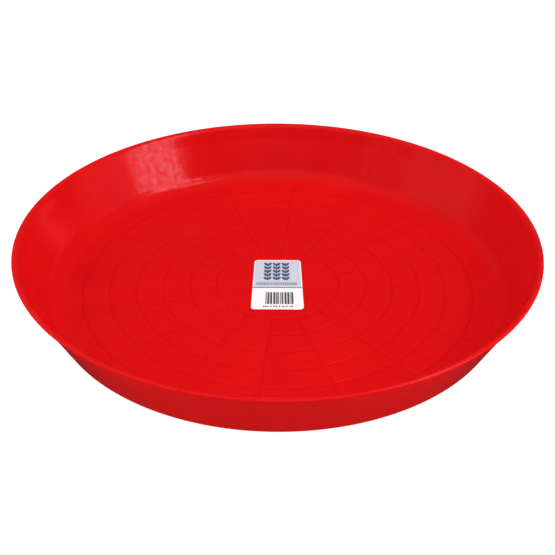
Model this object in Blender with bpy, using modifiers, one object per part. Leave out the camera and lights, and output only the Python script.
"""Round poultry feeding tray: a one-piece moulded pan with a grooved floor, and the label stuck in its middle.

Metres, +Z up. The origin is the centre of the foot ring, on the surface that the tray stands on.
"""
import math

import bmesh
import bpy
from mathutils import Matrix, Vector

# ---- Driving dimensions -------------------------------------------------------------------------
RIM_RADIUS = 0.200           # outer edge of the lip
RIM_HEIGHT = 0.0470          # top of the lip
FOOT_RADIUS = 0.1746         # where the wall's outer face would meet the ground
FLARE = math.radians(27.4)   # how far the wall leans out from upright
COLLAR_FOOT = 0.0355         # above this height the wall leans out less
COLLAR_FLARE = math.radians(23.5)
WALL = 0.0020                # wall thickness, measured square to the wall
LIP_BEND = 0.0044            # the wall turns outward over this radius to form the lip
LIP_EDGE = 0.0013            # rounding of the lip's outer edge: half of the lip's thickness
LIP_FILLET = 0.0012          # hollow corner under the lip
SEGMENTS = 64                # facets round every turned surface
SHARP_ANGLE = math.radians(35.0)

FLOOR_TOP = 0.0022           # upper side of the floor
FILLET = 0.0180              # inside corner between floor and wall
HEEL = 0.0010                # outside corner between wall and foot ring
FOOT_INNER = 0.160           # inner edge of the foot ring
FOOT_STEP = 0.0004           # how far the middle of the underside stands clear
STEP_SLOPE = 0.0004          # run of each sloped step on the underside
GATE_RADIUS = 0.0040         # the stub left by the injection gate, under the middle
GATE_DROP = 0.0002

CIRCLE_COUNT = 6             # circular grooves in the floor
CIRCLE_FIRST = 0.0484        # radius of the smallest one
CIRCLE_PITCH = 0.0208
GROOVE_WIDTH = 0.0024        # width of every groove at the floor's surface
GROOVE_BED = 0.0008          # width of its flat bottom
CIRCLE_DEPTH = 0.00028
SPOKE_COUNT = 16             # radial grooves
SPOKE_DEPTH = 0.00022        # a little shallower than the circles
SPOKE_TURN = math.radians(-5.2)
SPOKE_END = 0.1612           # just short of the fillet
CUTTER_RISE = 0.0010         # how far the cutters stand out above the floor

LABEL_LENGTH = 0.0702        # along Y
LABEL_HEAD = 0.0372          # the label is a little narrower at the head than at the foot
LABEL_FOOT = 0.0406
LABEL_THICKNESS = 0.0002
LABEL_CORNER = 0.0030
LABEL_CORNER_STEPS = 5
LABEL_OFFSET = -0.0010       # the label sits a little in front of the centre
GAP = 0.0003                 # kept between a piece and what it rests on


# ---- The turned section, worked out from the dimensions ----------------------------------------------
def wall_radius(height, side):
    """Radius of the wall's outer (side 1) or inner (side -1) face at a height."""
    knee = FOOT_RADIUS + COLLAR_FOOT * math.tan(FLARE)
    faces = [knee + (height - COLLAR_FOOT) * math.tan(lean) - (WALL / math.cos(lean) if side < 0 else 0.0)
             for lean in (FLARE, COLLAR_FLARE)]
    return min(faces)


def inner_knee_height():
    """Height at which the wall's inner face changes its lean."""
    step = WALL / math.cos(FLARE) - WALL / math.cos(COLLAR_FLARE)
    return COLLAR_FOOT + step / (math.tan(FLARE) - math.tan(COLLAR_FLARE))


def arc(centre, radius, angles):
    """Points of an arc in the section plane, at the given angles in degrees."""
    return [(centre[0] + radius * math.cos(math.radians(a)), centre[1] + radius * math.sin(math.radians(a)))
            for a in angles]


def spread(first, last, steps):
    """Evenly spaced values from first to last, both included."""
    return [first + (last - first) * i / steps for i in range(steps + 1)]


def corner_arc(radius, base_height, side, angles):
    """An arc that touches the level at base_height and one face of the wall."""
    touch_height = base_height + radius * (1 - math.sin(FLARE))
    centre = (wall_radius(touch_height, side) - radius * math.cos(FLARE), base_height + radius)
    return arc(centre, radius, angles)


def lip_points():
    """The lip: outward over the bend, round the edge, and back along the underside to the wall."""
    lean = math.degrees(COLLAR_FLARE)
    touch_height = RIM_HEIGHT - LIP_BEND * (1 - math.sin(COLLAR_FLARE))
    bend_centre = (wall_radius(touch_height, -1) + LIP_BEND * math.cos(COLLAR_FLARE), RIM_HEIGHT - LIP_BEND)
    points = arc(bend_centre, LIP_BEND, spread(180 - lean, 90, 5))
    edge_centre = (RIM_RADIUS - LIP_EDGE, RIM_HEIGHT - LIP_EDGE)
    points += arc(edge_centre, LIP_EDGE, spread(60, -90, 5))
    under = RIM_HEIGHT - 2 * LIP_EDGE
    fillet_height = under - LIP_FILLET
    touch_height = fillet_height + LIP_FILLET * math.sin(COLLAR_FLARE)
    fillet_centre = (wall_radius(touch_height, 1) + LIP_FILLET * math.cos(COLLAR_FLARE), fillet_height)
    return points + arc(fillet_centre, LIP_FILLET, spread(90, 180 - lean, 3))


def circle_radii():
    return [CIRCLE_FIRST + CIRCLE_PITCH * i for i in range(CIRCLE_COUNT)]


def pan_section():
    """The pan's half section: out along the floor, up inside, over the lip, down outside, back underneath."""
    bed = FLOOR_TOP - CIRCLE_DEPTH
    points = [(0.0, FLOOR_TOP)]
    for radius in circle_radii():
        points += [(radius - GROOVE_WIDTH / 2, FLOOR_TOP),
                   (radius - GROOVE_BED / 2, bed),
                   (radius + GROOVE_BED / 2, bed),
                   (radius + GROOVE_WIDTH / 2, FLOOR_TOP)]
    lean = math.degrees(FLARE)
    points += corner_arc(FILLET, FLOOR_TOP, -1, spread(-90, -lean, 6))
    points += [(wall_radius(inner_knee_height(), -1), inner_knee_height())]
    points += lip_points()
    points += [(wall_radius(COLLAR_FOOT, 1), COLLAR_FOOT)]
    points += corner_arc(HEEL, 0.0, 1, spread(-lean, -90, 3))
    points += [(FOOT_INNER, 0.0),
               (FOOT_INNER - STEP_SLOPE, FOOT_STEP),
               (GATE_RADIUS + STEP_SLOPE, FOOT_STEP),
               (GATE_RADIUS, FOOT_STEP - GATE_DROP),
               (0.0, FOOT_STEP - GATE_DROP)]
    return points


# ---- Helpers ---------------------------------------------------------------------------------------
def clear_scene():
    for obj in list(bpy.data.objects):
        bpy.data.objects.remove(obj, do_unlink=True)


def new_collection(name):
    collection = bpy.data.collections.new(name)
    bpy.context.scene.collection.children.link(collection)
    return collection


def plastic(name, colour, roughness):
    material = bpy.data.materials.new(name)
    material.use_nodes = True
    shader = material.node_tree.nodes["Principled BSDF"]
    shader.inputs["Base Color"].default_value = (*colour, 1.0)
    shader.inputs["Roughness"].default_value = roughness
    shader.inputs["Metallic"].default_value = 0.0
    return material


def settle(obj):
    """Make the result of an object's modifiers its mesh, shaded smooth with its real edges kept sharp."""
    evaluated = obj.evaluated_get(bpy.context.evaluated_depsgraph_get())
    mesh = bpy.data.meshes.new_from_object(evaluated)
    obj.modifiers.clear()
    obj.data = mesh
    mesh.shade_smooth()
    mesh.set_sharp_from_angle(angle=SHARP_ANGLE)


def new_object(name, bm, collection):
    mesh = bpy.data.meshes.new(name)
    bm.to_mesh(mesh)
    bm.free()
    obj = bpy.data.objects.new(name, mesh)
    collection.objects.link(obj)
    return obj


# ---- Pieces ----------------------------------------------------------------------------------------
def make_spokes(collection):
    """The cutters of the radial grooves: sixteen bars whose sides slope like the grooves' own."""
    length = SPOKE_END - CIRCLE_FIRST
    depth = SPOKE_DEPTH + CUTTER_RISE
    middle = Vector((CIRCLE_FIRST + length / 2, 0.0, FLOOR_TOP + CUTTER_RISE - depth / 2))
    side_slope = (GROOVE_WIDTH - GROOVE_BED) / SPOKE_DEPTH
    head_width = GROOVE_BED + side_slope * depth
    bm = bmesh.new()
    for i in range(SPOKE_COUNT):
        turn = Matrix.Rotation(SPOKE_TURN + math.tau * i / SPOKE_COUNT, 3, "Z")
        for vert in bmesh.ops.create_cube(bm, size=1.0)["verts"]:
            width = head_width if vert.co.z > 0 else GROOVE_BED
            vert.co = turn @ (middle + Vector((vert.co.x * length, vert.co.y * width, vert.co.z * depth)))
    spokes = new_object("spoke_cutters", bm, collection)
    spokes.hide_render = True
    spokes.display_type = "WIRE"
    return spokes


def make_pan(collection, spokes, material):
    """The pan: its section turned about Z, with the spokes cut into its floor."""
    bm = bmesh.new()
    section = [bm.verts.new((radius, 0.0, height)) for radius, height in pan_section()]
    for first, second in zip(section, section[1:]):
        bm.edges.new((first, second))
    pan = new_object("pan", bm, collection)
    screw = pan.modifiers.new("turned_section", "SCREW")
    screw.axis = "Z"
    screw.steps = SEGMENTS
    screw.render_steps = SEGMENTS
    screw.use_merge_vertices = True
    screw.merge_threshold = 0.00001
    cut = pan.modifiers.new("cut_spokes", "BOOLEAN")
    cut.operation = "DIFFERENCE"
    cut.solver = "EXACT"
    cut.object = spokes
    pan.data.materials.append(material)
    settle(pan)


def make_label(collection, material):
    """The label: a thin sheet with rounded corners, lying just above the floor."""
    bm = bmesh.new()
    for vert in bmesh.ops.create_cube(bm, size=1.0)["verts"]:
        width = LABEL_HEAD if vert.co.y > 0 else LABEL_FOOT
        vert.co = Vector((vert.co.x * width, vert.co.y * LABEL_LENGTH, vert.co.z * LABEL_THICKNESS))
    upright = [edge for edge in bm.edges if edge.verts[0].co.xy == edge.verts[1].co.xy]
    bmesh.ops.bevel(bm, geom=upright, offset=LABEL_CORNER, segments=LABEL_CORNER_STEPS, profile=0.5,
                    affect="EDGES")
    label = new_object("label", bm, collection)
    label.location = (0.0, LABEL_OFFSET, FLOOR_TOP + GAP + LABEL_THICKNESS / 2)
    label.data.materials.append(material)


def main():
    clear_scene()
    parts = new_collection("poultry_feeding_tray")
    cutters = new_collection("cutters")
    red = plastic("red_polypropylene", (0.72, 0.008, 0.010), 0.32)
    paper = plastic("white_label", (0.80, 0.80, 0.82), 0.45)
    make_pan(parts, make_spokes(cutters), red)
    make_label(parts, paper)


main()
